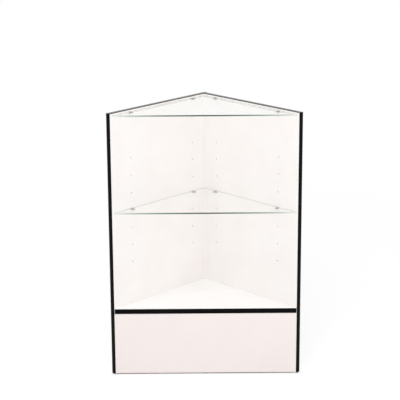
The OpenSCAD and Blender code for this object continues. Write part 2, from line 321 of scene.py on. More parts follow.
# A finish's effects, laid over a colour in their order. "cover" is the share that an effect's own
# colour or the rubbed one takes, and "rough" what it adds to the roughness.
def layerEffects(finish, vector, colour, ownVectors=None):
    roughness = finish["roughness"]
    height = None
    for name, group in effects.items():
        if name not in finish:
            continue
        settings = finish[name]
        made = placeGroup(group, (ownVectors or {}).get(name, vector), settings)
        if "cover" in settings:
            own = settings["colour"] if "colour" in settings else finish["rubbed"]
            colour = mixColour(made[0] * settings["cover"], colour, own)
        if "rough" in settings:
            roughness = made[0] * settings["rough"] + roughness
        if name == "grain":
            height = made[1]
    return colour, roughness, height


def mixSurfaces(share, first, second):
    return addNode(share.tree, "ShaderNodeMixShader", {0: share, 1: first, 2: second})[0]


# 1 for the named kinds of rays and 0 for the others
def rayShare(tree, *kinds):
    path = tree.nodes.new("ShaderNodeLightPath").outputs
    shares = [NodeValue(path["Is " + kind + " Ray"]) for kind in kinds]
    for share in shares[1:]:
        shares[0] = calc("MAXIMUM", shares[0], share)
    return shares[0]


# A finish's bump is its strength and distance. Its shader entry sets plain sockets.
def closeMaterial(tree, finish, colour, roughness, height=None):
    inputs = {"Base Color": colour, "Roughness": roughness, **finish.get("shader", {})}
    if height is not None:
        strength, distance = finish["bump"]
        bump = {"Height": height, "Strength": strength, "Distance": distance}
        inputs["Normal"] = addNode(tree, "ShaderNodeBump", bump)[0]
    surface = addNode(tree, "ShaderNodeBsdfPrincipled", inputs)[0]
    if "passing" in finish:
        # lamps and soft bounced light pass straight on, as through thin real glass
        clear = addNode(tree, "ShaderNodeBsdfTransparent", {"Color": finish["passing"]})[0]
        surface = mixSurfaces(rayShare(tree, "Shadow", "Diffuse"), surface, clear)
    addNode(tree, "ShaderNodeOutputMaterial", {"Surface": surface})


# Melamine-faced boards. Each board's own vector runs along it in X, through it in Y and up in Z.
melamine = {
    "rubbed": (0.66, 0.64, 0.61),
    "roughness": 0.33,
    "clouds": (7.0, 3.0, 0.55),  # scale, detail and roughness of a slow change of tone
    "cloudFade": (0.3, 0.7),
    "grain": {"Scale": 1500.0, "Coarse": 0.5, "cover": 0.08, "rough": 0.10},
    "worn": {"Amount": 0.4, "Scale": 70.0, "cover": 0.45, "colour": (0.56, 0.47, 0.36)},
    "marks": {"Scale": 14.0, "cover": 0.35, "rough": 0.12},
    "dust": {"Amount": 0.07, "Scale": 16.0, "cover": 1.0, "colour": (0.70, 0.68, 0.64), "rough": 0.8},
    "shoes": {"Amount": 0.8, "Scale": 8.0, "below": 0.12},
    "chips": {"Scale": 420.0, "rough": 0.85},
    # painted light: a pale colour inside the peg holes that lightens their shade
    "bore": {"reach": 0.004, "above": 0.30, "cover": 0.95, "colour": (0.93, 0.91, 0.875)},
    "filmDepth": 0.0087,  # from the board's middle to the back of the film
    "glueReach": 0.00008,
    "glue": (0.46, 0.38, 0.28),
    "pearl": 0.16,  # height of the film's grain beside that of the chips
    "bump": (0.35, 0.0003),
}
offset = cabinet["cornerY"] / math.sqrt(2)
# The left side's own X runs towards the rear, so that its vector is turned and never mirrored
boardFinish = {
    "left_side_panel": {
        "piece": "left_board",
        "move": (-offset, -offset - board / 2, 0.0),
        "turn": (0.0, 0.0, -quarter),
        "tapeFrom": 0.0175,  # beyond this its rear end has a taped edge
        "film": (0.885, 0.856, 0.836),
        "filmShade": (0.868, 0.828, 0.808),
        "scuffs": 0.32,
    },
    "right_side_panel": {
        "piece": "right_board",
        "move": (offset, -offset - board / 2, 0.0),
        "turn": (0.0, 0.0, quarter),
        "film": (0.885, 0.858, 0.839),
        "filmShade": (0.868, 0.832, 0.812),
        "scuffs": 0.32,
    },
    "deck_panel": {
        "piece": "deck_board",
        "move": (0.0, -deckMiddle, 0.0),
        "turn": (-half, 0.0, 0.0),
        # painted light: the deck's film is lighter than the sides' for the light that falls on it from above
        "film": (0.925, 0.925, 0.922),
        "filmShade": (0.910, 0.907, 0.900),
        "scuffs": 0.5,
    },
    "kick_panel": {
        "piece": "kick_board",
        "move": (0.0, -kickMiddle, 0.0),
        "turn": (0.0, 0.0, 0.0),
        # painted shade: the kick board's film is darker for the lesser light that falls on its upright front
        "film": (0.830, 0.762, 0.742),  # the kick board is a shade pinker and darker
        "filmShade": (0.814, 0.747, 0.725),
        "scuffs": 0.4,
        "shoeMarks": 0.5,
    },
}
pastTheEnd = 9.0  # where the tape of a board with no taped end would begin


def buildMelamine(name, place):
    made, tree = openMaterial(name)
    local = objectVector(tree, place["move"], place["turn"])
    x, y, z = split(local)
    depth = abs(y)
    untaped = x < place.get("tapeFrom", pastTheEnd)
    bare = (depth < melamine["filmDepth"]) * untaped
    clouds = remap(noise(local, *melamine["clouds"]), *melamine["cloudFade"])
    film = mixColour(clouds, place["film"], place["filmShade"])
    finish = {**melamine, "marks": {**melamine["marks"], "Amount": place["scuffs"]}}
    film, satin, grain = layerEffects(finish, local, film)
    shoes = melamine["shoes"]
    low = remap(z, shoes["below"], 0.0) * place.get("shoeMarks", 0.0)
    film = mixColour(placeGroup(effects["marks"], local, shoes)[0] * low, film, melamine["rubbed"])
    # a fine glue line shows where tape and film meet
    seam = calc("COMPARE", depth, melamine["filmDepth"], melamine["glueReach"]) * (1.0 - untaped)
    film = mixColour(seam, film, melamine["glue"])
    # the peg holes are painted pale, as painted light against the shade inside them
    bore = melamine["bore"]
    near, far = (calc("COMPARE", abs(x), column, bore["reach"]) for column in cabinet["holeColumns"])
    paintedHoleLight = calc("MAXIMUM", near, far) * (z > bore["above"]) * bore["cover"]
    wood, rough = placeGroup(chips, local, melamine["chips"])
    colour = mixColour(bare, film, mixColour(paintedHoleLight, wood, bore["colour"]))
    satin = calc("MAXIMUM", satin, bare * melamine["chips"]["rough"])
    closeMaterial(tree, melamine, colour, satin, grain * melamine["pearl"] + bare * rough)
    return made


# Black edging plastic. The strip attribute runs along the edging in Z.
edgingFinish = {
    "base": (0.0012, 0.0012, 0.0014),
    "rubbed": (0.035, 0.035, 0.035),
    "roughness": 0.06,
    "grain": {"Scale": 2200.0, "Coarse": 0.35, "cover": 0.6, "colour": (0.004, 0.004, 0.0043), "rough": 0.08},
    "worn": {"Amount": 0.55, "Scale": 90.0, "cover": 0.8, "rough": 0.12},
    "marks": {"Amount": 0.7, "Scale": 20.0, "cover": 0.35, "rough": 0.05},
    "dust": {"Amount": 0.04, "Scale": 40.0, "cover": 1.0, "colour": (0.25, 0.24, 0.22)},
    "drawnOut": 0.02,  # the grain's scale along the strip
    "bump": (0.25, 0.0001),
    "specular": 0.05,
    "topSpecular": 0.30,  # the top strips lie flat and are seen at a slant, where they shine
}


def buildEdgingPlastic(name, specular):
    made, tree = openMaterial(name)
    strip = addNode(tree, "ShaderNodeAttribute", attribute_name="strip")[1]
    turned = addNode(tree, "ShaderNodeMapping", {"Vector": strip, "Rotation": (0.0, half, 0.0)})[0]
    drawn = vectorCalc("MULTIPLY", strip, (1.0, 1.0, edgingFinish["drawnOut"]))
    finish = {**edgingFinish, "shader": {"Specular IOR Level": specular}}
    ownVectors = {"grain": drawn, "marks": turned}
    closeMaterial(tree, finish, *layerEffects(finish, strip, finish["base"], ownVectors))
    return made


# Clear float glass. Its faces and its ground edges have a material each.
faceFinish = {
    "base": (0.978, 0.988, 0.980),
    "roughness": 0.004,
    "marks": {"Amount": 0.35, "Scale": 16.0, "rough": 0.12},
    "dust": {"Amount": 0.05, "Scale": 22.0, "cover": 1.0, "colour": (0.90, 0.91, 0.89), "rough": 0.5},
    "smears": (9.0, 4.0, 0.6),
    "smearFade": (0.5, 0.8, 0.0, 0.03),  # the noise's range, and the roughness that it adds
    "shader": {"IOR": 1.52, "Transmission Weight": 1.0},
    "passing": (0.996, 0.998, 0.997),  # what lamp light keeps of its colour through one face
}
edgeFinish = {
    "base": (0.77, 0.765, 0.74),
    "rubbed": (0.72, 0.78, 0.74),
    # painted shade: how much of the edge colour is taken off for each metre of glass behind a front edge
    "loss": (9.4, 7.3, 8.3),  # taken off for each metre of glass behind a front edge
    "backEdge": (0.27, 0.33, 0.29),
    "halfWidth": 0.3227,
    "frontDepth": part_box("shelf_glass")[0].y + 0.0012,  # in front of this lies the front edge
    "roughness": 0.14,
    "grain": {"Scale": 1400.0, "Coarse": 0.4, "cover": 0.05, "colour": (0.50, 0.56, 0.52), "rough": 0.12},
    "worn": {"Amount": 0.6, "Scale": 120.0, "cover": 0.4},
    "bump": (0.15, 0.0001),
    "shader": {"IOR": 1.52, "Specular IOR Level": 0.3},
    "passing": faceFinish["passing"],
}


def buildGlassFace():
    made, tree = openMaterial("clearGlassFace")
    local = objectVector(tree)
    tint, haze = layerEffects(faceFinish, local, faceFinish["base"])[:2]
    smears = remap(noise(local, *faceFinish["smears"]), *faceFinish["smearFade"])
    closeMaterial(tree, faceFinish, tint, haze + smears)
    return made


def buildGlassEdge():
    made, tree = openMaterial("groundGlassEdge")
    local = objectVector(tree)
    x, y, z = split(local)
    # painted shade: the more glass there is behind the front edge, the greener and darker its colour is
    # painted, for the light lost on its way through the glass
    behind = edgeFinish["halfWidth"] - abs(x)
    kept = [calc("EXPONENT", behind * -loss) * base
            for base, loss in zip(edgeFinish["base"], edgeFinish["loss"])]
    paintedDepthShade = addNode(tree, "ShaderNodeCombineColor", dict(enumerate(kept)))[0]
    green = mixColour(y < edgeFinish["frontDepth"], edgeFinish["backEdge"], paintedDepthShade)
    closeMaterial(tree, edgeFinish, *layerEffects(edgeFinish, local, green))
    return made


# Planed beech, with its grain along the vector's X
beech = {
    "pale": (0.63, 0.43, 0.26),
    "band": (0.48, 0.30, 0.165),
    "fleck": (0.27, 0.14, 0.07),
    "rubbed": (0.72, 0.56, 0.38),
    "fleckCover": 0.5,
    "bandStretch": (0.08, 1.0, 1.0),  # bands and flecks are long ones
    "fleckStretch": (0.25, 1.0, 1.0),
    "bands": (160.0, 4.0, 0.6),
    "bandFade": (0.3, 0.7),
    "flecks": (900.0, 2.0, 0.5),
    "fleckFade": (0.60, 0.68),
    "roughness": 0.55,
    "bandRough": 0.2,
    "worn": {"Amount": 0.5, "Scale": 150.0, "cover": 0.5},
    "dust": {"Amount": 0.25, "Scale": 40.0, "cover": 1.0, "colour": (0.55, 0.50, 0.44)},
    "bump": (0.35, 0.0002),
}


def buildBeech(name, turn):
    made, tree = openMaterial(name)
    local = objectVector(tree, rotation=turn)
    bands = noise(vectorCalc("MULTIPLY", local, beech["bandStretch"]), *beech["bands"])
    rays = noise(vectorCalc("MULTIPLY", local, beech["fleckStretch"]), *beech["flecks"])
    flecks = remap(rays, *beech["fleckFade"])
    wood = mixColour(remap(bands, *beech["bandFade"]), beech["pale"], beech["band"])
    wood = mixColour(flecks * beech["fleckCover"], wood, beech["fleck"])
    wood, dry = layerEffects(beech, local, wood)[:2]
    closeMaterial(tree, beech, wood, bands * beech["bandRough"] + dry, bands - flecks)
    return made


# Cast pegs, nickel plated and polished, and zinc-plated screws. The nickel's colour is darkened as a painted
# reflection of a dark room.
nickelFinish = {
    "base": (0.32, 0.31, 0.29),
    "rubbed": (0.40, 0.34, 0.25),
    "roughness": 0.20,
    "grain": {"Scale": 1500.0, "Coarse": 0.4, "cover": 0.4, "colour": (0.20, 0.193, 0.18), "rough": 0.12},
    "worn": {"Amount": 0.7, "Scale": 500.0, "cover": 0.5},
    "marks": {"Amount": 0.8, "Scale": 220.0, "rough": 0.15},
    "bump": (0.2, 0.00006),
    "shader": {"Metallic": 1.0},
}
zincFinish = {
    **nickelFinish,
    "base": (0.47, 0.475, 0.49),
    "rubbed": (0.25, 0.24, 0.23),
    "roughness": 0.30,
    "grain": {**nickelFinish["grain"], "Scale": 900.0, "colour": (0.30, 0.305, 0.31)},
}
# Soft clear pads, gone slightly milky, with their grey darkened as painted shade
padFinish = {
    "base": (0.30, 0.30, 0.285),
    "roughness": 0.18,
    "grain": {"Scale": 2600.0, "Coarse": 0.5, "cover": 0.5, "colour": (0.42, 0.41, 0.39), "rough": 0.16},
    "dust": {"Amount": 0.15, "Scale": 300.0, "cover": 1.0, "colour": (0.50, 0.48, 0.44)},
    "bump": (0.15, 0.00005),
    "shader": {"IOR": 1.53, "Transmission Weight": 0.45},
}
# Moulded plastic
capFinish = {
    "base": (0.84, 0.825, 0.795),
    "rubbed": (0.66, 0.64, 0.60),
    "roughness": 0.36,
    "grain": {"Scale": 1900.0, "Coarse": 0.5, "cover": 0.5, "colour": (0.79, 0.77, 0.735), "rough": 0.1},
    "worn": {"Amount": 0.5, "Scale": 300.0, "cover": 0.6},
    "marks": {"Amount": 0.7, "Scale": 120.0, "cover": 0.4, "rough": 0.1},
    "dust": {"Amount": 0.05, "Scale": 200.0, "cover": 1.0, "colour": (0.50, 0.48, 0.44)},
    "bump": (0.3, 0.0001),
}
glideFinish = {
    **capFinish,
    "base": (0.27, 0.265, 0.255),
    "rubbed": (0.20, 0.19, 0.175),
    "roughness": 0.5,
    "grain": {**capFinish["grain"], "colour": (0.31, 0.30, 0.285)},
    "dust": {**capFinish["dust"], "Amount": 0.2},
    "shader": {"Specular IOR Level": 0.4},
}


def buildSmallPart(name, finish):
    made, tree = openMaterial(name)
    closeMaterial(tree, finish, *layerEffects(finish, objectVector(tree), finish["base"]))
    return made


melamines = {node: buildMelamine(node + "_melamine", place) for node, place in boardFinish.items()}
edgingPlastic = buildEdgingPlastic("blackEdgingPlastic", edgingFinish["specular"])
topEdgingPlastic = buildEdgingPlastic("blackTopEdgingPlastic", edgingFinish["topSpecular"])
glassFace = buildGlassFace()
glassEdge = buildGlassEdge()
beechAcross = buildBeech("beechAcross", (0.0, 0.0, 0.0))
beechUpright = buildBeech("beechUpright", (0.0, half, 0.0))
nickel = buildSmallPart("satinNickel", nickelFinish)
zinc = buildSmallPart("zincSteel", zincFinish)
vinyl = buildSmallPart("clearVinylPad", padFinish)
whiteCap = buildSmallPart("whiteCapPlastic", capFinish)
glidePlastic = buildSmallPart("greyGlidePlastic", glideFinish)
print("materials built:", len(bpy.data.materials))


# Pieces
def addObject(name, data):
    made = bpy.data.objects.new(name, data)
    scene.collection.objects.link(made)
    return made


def showMesh(name, mesh, body, slot, *nodes):
    piece = addObject(name, mesh)
    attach(piece, body)
    if nodes:
        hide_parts(*nodes)


def settle(source):
    # the evaluated object becomes one plain mesh, and its modifiers go
    evaluated = source.evaluated_get(bpy.context.evaluated_depsgraph_get())
    mesh = bpy.data.meshes.new_from_object(evaluated)
    source.modifiers.clear()
    bpy.data.objects.remove(source)
    return mesh


softening = {
    "weld": 2e-6,
    "flat": math.radians(0.4),  # faces that turn less than this become one
    "sharp": math.radians(30.0),  # edges that turn more than this are broken
    "crease": math.radians(50.0),  # and what still turns more than this is shaded sharp
    "treeCrease": math.radians(38.0),  # the same for what the trees build
    "level": 0.999,  # upward share of the normal of a pane's faces
}


# A merged copy of a solid with its arrises broken, as a file or a mould would leave them
def softenedMesh(nodeName, arris, materials):
    shape = bmesh.new()
    shape.from_mesh(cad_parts[nodeName].data)
    bmesh.ops.remove_doubles(shape, verts=shape.verts, dist=softening["weld"])
    bmesh.ops.dissolve_limit(shape, angle_limit=softening["flat"], verts=shape.verts, edges=shape.edges)
    sharp = [edge for edge in shape.edges
             if len(edge.link_faces) == 2 and edge.calc_face_angle(0.0) > softening["sharp"]]
    layer = shape.faces.layers.float.new("arris")
    made = bmesh.ops.bevel(shape, geom=sharp, offset=arris, segments=2, profile=0.5,
                           affect="EDGES", clamp_overlap=True, material=-1)
    for face in made["faces"]:
        face[layer] = 1.0
    for face in shape.faces:
        face.smooth = True
    mesh = bpy.data.meshes.new(nodeName + "_softened")
    shape.to_mesh(mesh)
    shape.free()
    carrier = addObject(nodeName + "_carrier", mesh)
    mesh.set_sharp_from_angle(angle=softening["crease"])
    weighted = carrier.modifiers.new("weighted", "WEIGHTED_NORMAL")
    weighted.keep_sharp = True
    bpy.context.view_layer.update()
    softened = settle(carrier)
    for material in materials:
        softened.materials.append(material)
    return softened


arrises = {"board": 0.0002, "glass": 0.0005, "peg": 0.00032, "pad": 0.00018, "batten": 0.0008}
for nodeName, place in boardFinish.items():
    boardMesh = softenedMesh(nodeName, arrises["board"], [melamines[nodeName]])
    showMesh(place["piece"], boardMesh, "cabinet", "white_board", nodeName)
print("boards placed")


# Geometry Nodes: each tree takes its sizes as named inputs and ends in realised, dressed geometry
def openShape(name, sizes):
    inputs = {"Geometry": "Geometry", **sizes, "Material": "Material"}
    return openGroup("GeometryNodeTree", name, inputs, {"Geometry": "Geometry"})


def dressShape(start, end, shape):
    real = addNode(shape.tree, "GeometryNodeRealizeInstances", {"Geometry": shape})[0]
    inputs = {"Geometry": real, "Material": start["Material"]}
    connect(addNode(shape.tree, "GeometryNodeSetMaterial", inputs)[0], end["Geometry"])


def joinShapes(*shapes):
    joined = shapes[0].tree.nodes.new("GeometryNodeJoinGeometry")
    for shape in shapes:
        connect(shape, joined.inputs[0])
    return NodeValue(joined.outputs[0])


def mergeNear(shape):
    inputs = {"Geometry": shape, "Distance": softening["weld"]}
    return addNode(shape.tree, "GeometryNodeMergeByDistance", inputs)[0]


def movePoints(shape, place):
    return addNode(shape.tree, "GeometryNodeSetPosition", {"Geometry": shape, "Position": place})[0]


def storeOn(shape, name, value, kind="FLOAT"):
    inputs = {"Geometry": shape, "Name": name, "Value": value}
    return addNode(shape.tree, "GeometryNodeStoreNamedAttribute", inputs, data_type=kind)[0]


def pickByIndex(index, values):
    chosen = index.tree.nodes.new("GeometryNodeIndexSwitch")
    chosen.data_type = "FLOAT"
    while len(chosen.index_switch_items) < len(values):
        chosen.index_switch_items.new()
    for socket, value in zip(chosen.inputs, (index, *values)):
        connect(value, socket)
    return NodeValue(chosen.outputs[0])


def sheetRows(rows, sides):
    # a grid whose rows become rings, one more column than sides so that it closes on itself
    columns = sides + 1.0
    grid = addNode(sides.tree, "GeometryNodeMeshGrid", {"Vertices X": rows, "Vertices Y": columns})[0]
    index = addNode(sides.tree, "GeometryNodeInputIndex")[0]
    row = calc("FLOOR", (index + 0.5) / columns)
    return grid, row, (index - row * columns) / sides


def roundRows(grid, share, radius, height, arris):
    angle = share * -whole
    place = combine(calc("COSINE", angle) * radius, calc("SINE", angle) * radius, height)
    return mergeNear(movePoints(storeOn(grid, "arris", arris), place))


# A closed turned shape. Its stations run upwards, each a radius, a height and how worn it gets.
def turnedShape(start, stations):
    grid, row, share = sheetRows(len(stations), start["Sides"])
    radius, height, arris = (pickByIndex(row, values) for values in zip(*stations))
    if "Flutes" in start:
        wave = calc("COSINE", share * start["Flutes"] * whole)
        radius = calc("MAXIMUM", radius - (0.5 - wave * 0.5) * start["Flute Depth"], 0.0)
    return roundRows(grid, share, radius, height, arris)


# A closed right-hand screw thread from one height to another, drawn to a point at its upper end
def threadedShape(start, low, stepsPerTurn=8.0):
    length = start["Length"] - low
    step = start["Pitch"] / stepsPerTurn
    rows = calc("FLOOR", length / step) + 3.0
    grid, row, share = sheetRows(rows, start["Sides"])
    rise = calc("MINIMUM", calc("MAXIMUM", (row - 1.0) * step, 0.0), length)
    turns = calc("FRACT", rise / start["Pitch"] + share)
    tooth = calc("MAXIMUM", 1.0 - abs(turns - 0.5) * 4.0, 0.0)  # it takes half of a turn
    radius = start["Core Radius"] + tooth * (start["Thread Radius"] - start["Core Radius"])
    radius = radius * clamped((length - rise) / start["Point Length"]) * (row > 0.5)
    return roundRows(grid, share, radius, rise + low, tooth)


# Copies of a shape on the spots, each turned to its spot's own axis
def copyToSpots(start, shape, seed):
    tree = shape.tree
    axis = addNode(tree, "GeometryNodeInputNamedAttribute", {"Name": "axis"}, data_type="FLOAT_VECTOR")[0]
    turn = addNode(tree, "FunctionNodeAlignRotationToVector", {"Vector": axis}, axis="Z")[0]
    span = {2: 0.0, 3: whole, "Seed": seed}
    chance = addNode(tree, "FunctionNodeRandomValue", span)[1]
    spin = addNode(tree, "FunctionNodeAxisAngleToRotation", {"Axis": tuple(up), "Angle": chance})[0]
    both = addNode(tree, "FunctionNodeRotateRotation", {0: turn, 1: spin}, rotation_space="LOCAL")[0]
    inputs = {"Points": start["Geometry"], "Instance": shape, "Rotation": both}
    return addNode(tree, "GeometryNodeInstanceOnPoints", inputs)[0]


def buildSpotTree(name, sizes, buildShape, seed):
    tree, start, end = openShape(name, sizes)
    dressShape(start, end, copyToSpots(start, buildShape(start), seed))
    return tree


# Runs a tree on a mesh whose points are the spots, each with its axis
def runTree(tree, values, name, spots=()):
    points = bpy.data.meshes.new(name + "_spots")
    points.from_pydata([place for place, axis in spots], [], [])
    layer = points.attributes.new("axis", "FLOAT_VECTOR", "POINT")
    for index, (place, axis) in enumerate(spots):
        layer.data[index].vector = axis
    carrier = addObject(name + "_carrier", points)
    modifier = carrier.modifiers.new("tree", "NODES")
    modifier.node_group = tree
    for item in tree.interface.items_tree:
        if item.item_type == "SOCKET" and item.in_out == "INPUT" and item.name in values:
            modifier[item.identifier] = values[item.name]
    bpy.context.view_layer.update()
    made = settle(carrier)
    made.name = name
    made.shade_smooth()
    made.set_sharp_from_angle(angle=softening["treeCrease"])
    return made


# Edging swept along the boards: a domed crown with rounded shoulders and a tongue behind it
edging = {
    "Width": 0.018,
    "Thickness": 0.002,
    "Rise": 0.0006,
    "Shoulder": 0.0006,
    "Worn Width": 0.0011,  # along each shoulder
    "Worn Fade": 0.0008,
    "Tongue Width": 0.0024,
    "Tongue Depth": 0.007,
    "Tongue Overlap": 0.0004,  # how far it reaches into the crown
    "Section Points": 27,
}
edgingEnds = {
    "gap": 0.0001,  # between strips that meet
    "grooveBack": 0.0075,  # the top grooves end this far behind the front edging
    "deckInset": 0.002,
    "crownFrom": 0.0003,  # what lies farther out than this is crown and not tongue
}


# A closed bar: the section's face at the far end, its sides, and the near face turned round
def extrudedSection(section, length):
    tree = section.tree
    face = addNode(tree, "GeometryNodeFillCurve", {"Curve": section}, mode="NGONS")[0]
    inputs = {"Mesh": face, "Offset": combine(z=length), "Individual": False}
    bar = addNode(tree, "GeometryNodeExtrudeMesh", inputs)[0]
    near = addNode(tree, "GeometryNodeFlipFaces", {"Mesh": face})[0]
    return mergeNear(joinShapes(bar, near))


def crownSection(tree, start):
    halfWidth = start["Width"] * 0.5
    shoulder = start["Shoulder"]
    count = start["Section Points"] + 2.0
    line = addNode(tree, "GeometryNodeMeshLine", {"Count": count})[0]
    index = addNode(tree, "GeometryNodeInputIndex")[0]
    # the first and the last point are the crown's back corners, the rest lie over its dome
    step = clamped((index - 1.0) / (count - 3.0))
    share = calc("SINE", (step * 2.0 - 1.0) * half)
    x = share * halfWidth
    domed = start["Thickness"] - start["Rise"] * (share * share)
    past = calc("MAXIMUM", abs(x) - (halfWidth - shoulder), 0.0)
    inside = calc("MAXIMUM", shoulder * shoulder - past * past, 0.0)
    y = domed - (shoulder - calc("SQRT", inside))
    corners = (index < 0.5) + (index > count - 1.5)
    section = movePoints(line, combine(x, y * (1.0 - corners)))
    section = addNode(tree, "GeometryNodeMeshToCurve", {"Mesh": section})[0]
    return addNode(tree, "GeometryNodeSetSplineCyclic", {"Geometry": section, "Cyclic": True})[0]


def buildEdgingTree():
    lengths = {"Crown Length": 0.5, "Tongue Length": 0.5}
    ways = dict.fromkeys(("Origin", "Across", "Out", "Along"), "Vector")
    tree, start, end = openShape("edgingSweep", {**edging, **lengths, **ways})
    crown = extrudedSection(crownSection(tree, start), start["Crown Length"])
    depth = start["Tongue Depth"] + start["Tongue Overlap"]
    sizes = {"Width": start["Tongue Width"], "Height": depth}
    block = addNode(tree, "GeometryNodeCurvePrimitiveQuadrilateral", sizes)[0]
    shift = combine(y=start["Tongue Overlap"] - depth * 0.5)
    block = addNode(tree, "GeometryNodeTransform", {"Geometry": block, "Translation": shift})[0]
    tongue = extrudedSection(block, start["Tongue Length"])
    position = addNode(tree, "GeometryNodeInputPosition")[0]
    parts = split(position)
    marked = storeOn(joinShapes(crown, tongue), "strip", position, "FLOAT_VECTOR")
    fromShoulder = abs(parts[0]) - (start["Width"] * 0.5 - start["Worn Width"])
    onCrown = parts[1] > edgingEnds["crownFrom"]
    marked = storeOn(marked, "arris", remap(fromShoulder, 0.0, start["Worn Fade"]) * onCrown)
    placed = start["Origin"]
    for way, part in zip(("Across", "Out", "Along"), parts):
        placed = vectorCalc("MULTIPLY_ADD", start[way], part, placed)
    dressShape(start, end, movePoints(marked, placed))
    return tree


edgingTree = buildEdgingTree()
edgingRuns = {}  # origin, way out, way along, and the lengths of crown and tongue
for side, sideName in sideNames.items():
    along = sideWay(side, 1.0, 0.0)
    rear = -board if side < 0 else edgingEnds["gap"]
    edgingRuns[sideName + "_front_edging"] = (
        sidePoint(side, cabinet["woodEnd"], board / 2, cabinet["sideBottom"]), along, up,
        cabinet["top"] - cabinet["sideBottom"], cabinet["sideTop"] - cabinet["sideBottom"],
    )
    edgingRuns[sideName + "_top_edging"] = (
        sidePoint(side, rear, board / 2, cabinet["sideTop"]), up, along,
        cabinet["woodEnd"] - edgingEnds["gap"] - rear, cabinet["woodEnd"] - edgingEnds["grooveBack"] - rear,
    )
deckLow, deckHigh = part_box("deck_edging")
deckStart = deckLow.x + edgingEnds["deckInset"]
deckLength = deckHigh.x - edgingEnds["deckInset"] - deckStart
deckOrigin = Vector((deckStart, cabinet["cornerY"] - cabinet["boardFront"], deckMiddle))
edgingRuns["deck_edging"] = (deckOrigin, forward, Vector((1.0, 0.0, 0.0)), deckLength, deckLength)
for nodeName, (origin, out, along, crown, tongue) in edgingRuns.items():
    values = {**edging, "Origin": origin, "Across": out.cross(along), "Out": out, "Along": along,
              "Crown Length": crown, "Tongue Length": tongue,
              "Material": topEdgingPlastic if "_top_" in nodeName else edgingPlastic}
    edgingMesh = runTree(edgingTree, values, nodeName + "_mesh")
    showMesh(nodeName + "_strip", edgingMesh, "cabinet", "black_edging", nodeName)
print("edging swept")

# Glass panes: ground arrises, and the material of the ground edge wherever a face doesn't lie flat
for nodeName, body in {"top_glass": "top_glass_panel", "shelf_glass": "glass_shelf"}.items():
    paneMesh = softenedMesh(nodeName, arrises["glass"], [glassFace, glassEdge])
    for polygon in paneMesh.polygons:
        polygon.material_index = 0 if abs(polygon.normal.z) > softening["level"] else 1
    showMesh(nodeName + "_pane", paneMesh, body, "clear_glass", nodeName)
print("glass placed")

# Pegs and their clear pads
for level in ("shelf", "top"):
    for sideName in ("left", "right"):
        for column in ("rear", "front"):
            spot = level + "_" + sideName + "_" + column
            pegMesh = softenedMesh(spot + "_peg", arrises["peg"], [nickel])
            showMesh(spot + "_cast_peg", pegMesh, spot + "_support", "nickel_peg", spot + "_peg")
            padMesh = softenedMesh(spot + "_pad", arrises["pad"], [vinyl])
            showMesh(spot + "_soft_pad", padMesh, spot + "_support", "clear_vinyl", spot + "_pad")
print("pegs placed")

# Screws, dowels, caps and glides: each shape runs along +Z from its outer end
boardScrew = {
    "Head Radius": 0.005,
    "Head Height": 0.003,
    "Edge": 0.0003,
    "Shank Radius": 0.0035,
    "Shank Length": 0.0168,
    "Thread Radius": 0.0025,
    "Core Radius": 0.0017,
    "Pitch": 0.0028,
    "Length": 0.050,
    "Point Length": 0.004,
    "Socket Radius": 0.0023094,
    "Socket Depth": 0.002,
    "Sides": 24,
}
battenScrew = {
    "Head Radius": 0.004,
    "Edge": 0.0002,
    "Countersink": 0.002,
    "Neck": 0.0006,
    "Thread Radius": 0.002,
    "Core Radius": 0.0013,
    "Pitch": 0.0018,
    "Length": 0.035,
    "Point Length": 0.005,
    "Recess Span": 0.0036,
    "Recess Width": 0.0009,
    "Recess Depth": 0.0011,
    "Sides": 20,
}
dowel = {
    "Radius": 0.004,
    "Length": 0.030,
    "Chamfer": 0.0008,
    "Flutes": 18,
    "Flute Depth": 0.00028,
    "Sides": 72,
}
screwCap = {
    "Radius": 0.0065,
    "Thickness": 0.0012,
    "Round": 0.00036,
    "Ring Radius": 0.0043,
    "Ring Width": 0.0004,
    "Ring Depth": 0.00014,
    "Peg Radius": 0.0019,
    "Peg Length": 0.001,
    "Sides": 48,
}
glide = {
    "Radius": 0.0075,
    "Thickness": 0.002,
    "Round": 0.0005,
    "Nail Radius": 0.001,
    "Nail Length": 0.014,
    "Nail Fillet": 0.0006,
    "Nail Point": 0.002,
    "Sides": 40,
}
kickGlide = {**glide, "Thickness": 0.004}
holeRim = {
    "Inner Radius": 0.00278,
    "Width": 0.0006,
    "Rise": 0.00007,
    "Sunk": -0.0001,
    "Sides": 28,
}


def cutFrom(shape, tool):
    return addNode(shape.tree, "GeometryNodeMeshBoolean", {0: shape, 1: tool}, operation="DIFFERENCE")[0]


def boardScrewShape(start):
    radius, edge, height = start["Head Radius"], start["Edge"], start["Head Height"]
    shankLow = start["Shank Length"] - edge
    head = turnedShape(start, [
        (0.0, 0.0, 0.0),
        (radius - edge, 0.0, 0.6),
        (radius, edge, 1.0),
        (radius, height - edge, 0.4),
        (radius - edge, height, 0.4),
        (start["Shank Radius"], height, 0.0),
        (start["Shank Radius"], shankLow, 0.0),
        (start["Core Radius"], start["Shank Length"], 0.0),
        (0.0, start["Shank Length"], 0.0),
    ])
    inputs = {"Vertices": 6, "Radius": start["Socket Radius"], "Depth": start["Socket Depth"] * 2.0}
    socket = addNode(head.tree, "GeometryNodeMeshCylinder", inputs)[0]
    return joinShapes(cutFrom(head, socket), threadedShape(start, shankLow))


